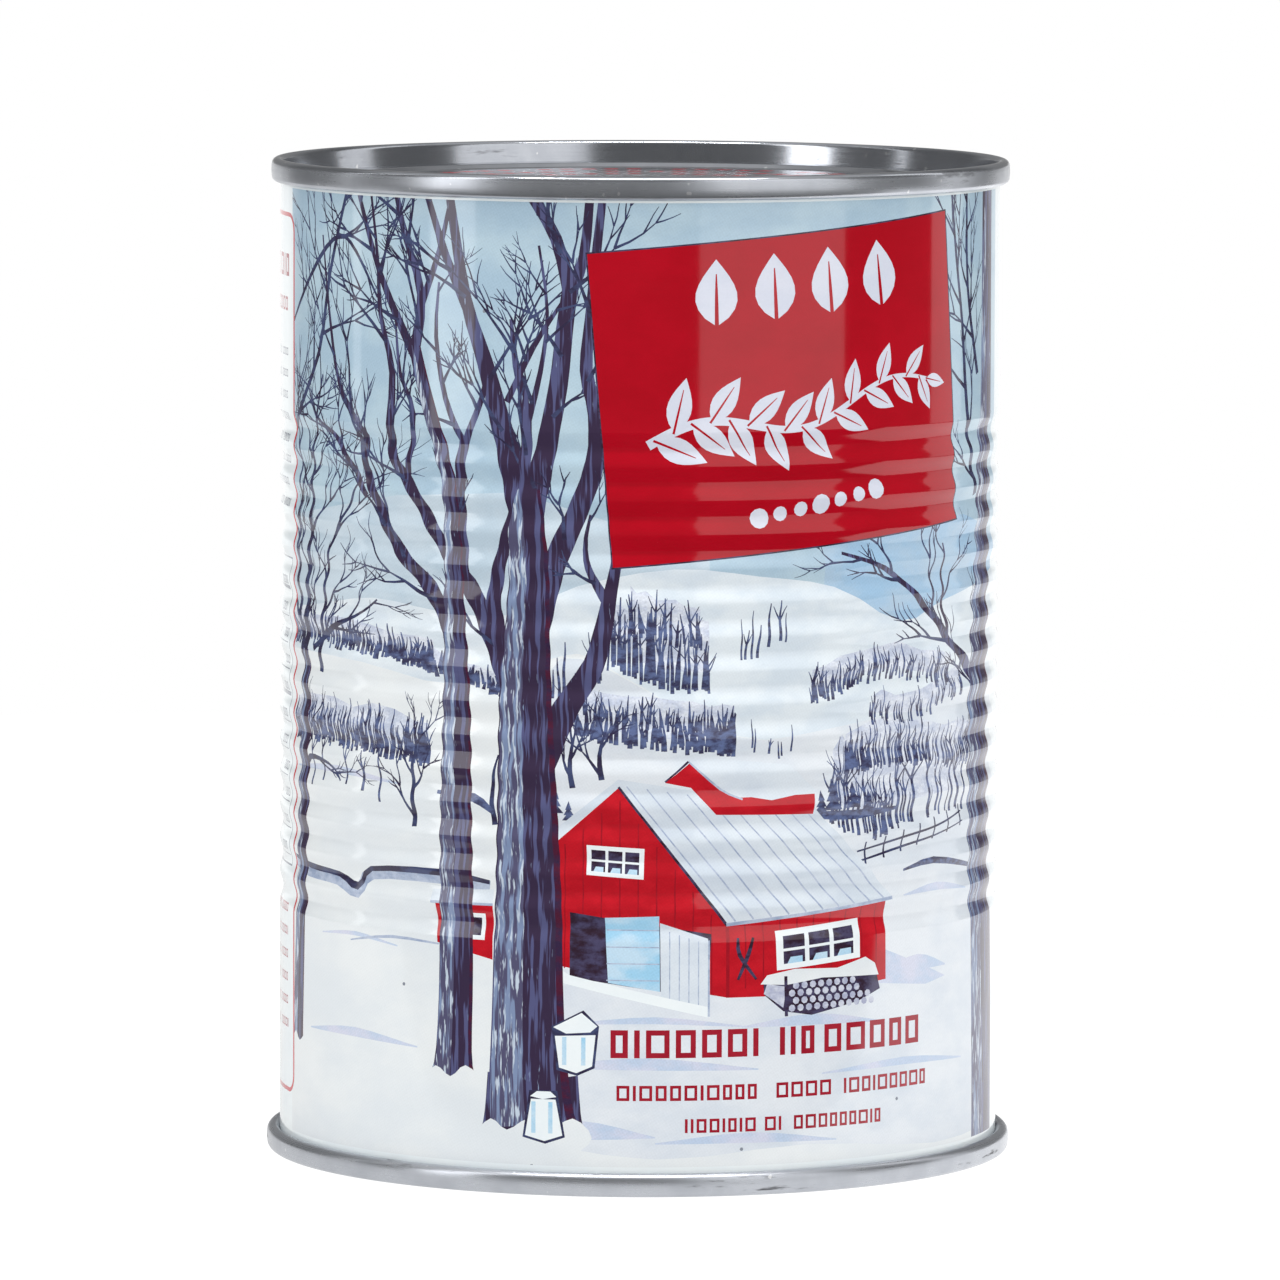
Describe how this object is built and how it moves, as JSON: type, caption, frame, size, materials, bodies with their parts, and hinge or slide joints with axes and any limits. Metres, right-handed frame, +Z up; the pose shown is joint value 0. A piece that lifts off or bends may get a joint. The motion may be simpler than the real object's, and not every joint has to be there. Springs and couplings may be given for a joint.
{
  "type": "maple syrup tin",
  "caption": "Shut round tin of maple syrup, with a beaded and printed steel body and a double-seamed end at top and bottom.",
  "frame": {"origin": "centre of the circle that the tin stands on, at the underside of the bottom seam", "axes": "+Z up along the tin's axis, -Y through the middle of the printed front, +X to the right of the front"},
  "size_m": [0.087, 0.087, 0.1159],
  "materials": {
    "printed_wall": "printed in several inks under a gloss varnish",
    "tinplate": "satin tinplate with fine rolling marks and light scuffs"
  },
  "bodies": {
    "root": {"body": "printed_wall", "top_end": "tinplate", "bottom_end": "tinplate"}
  },
  "joints": []
}
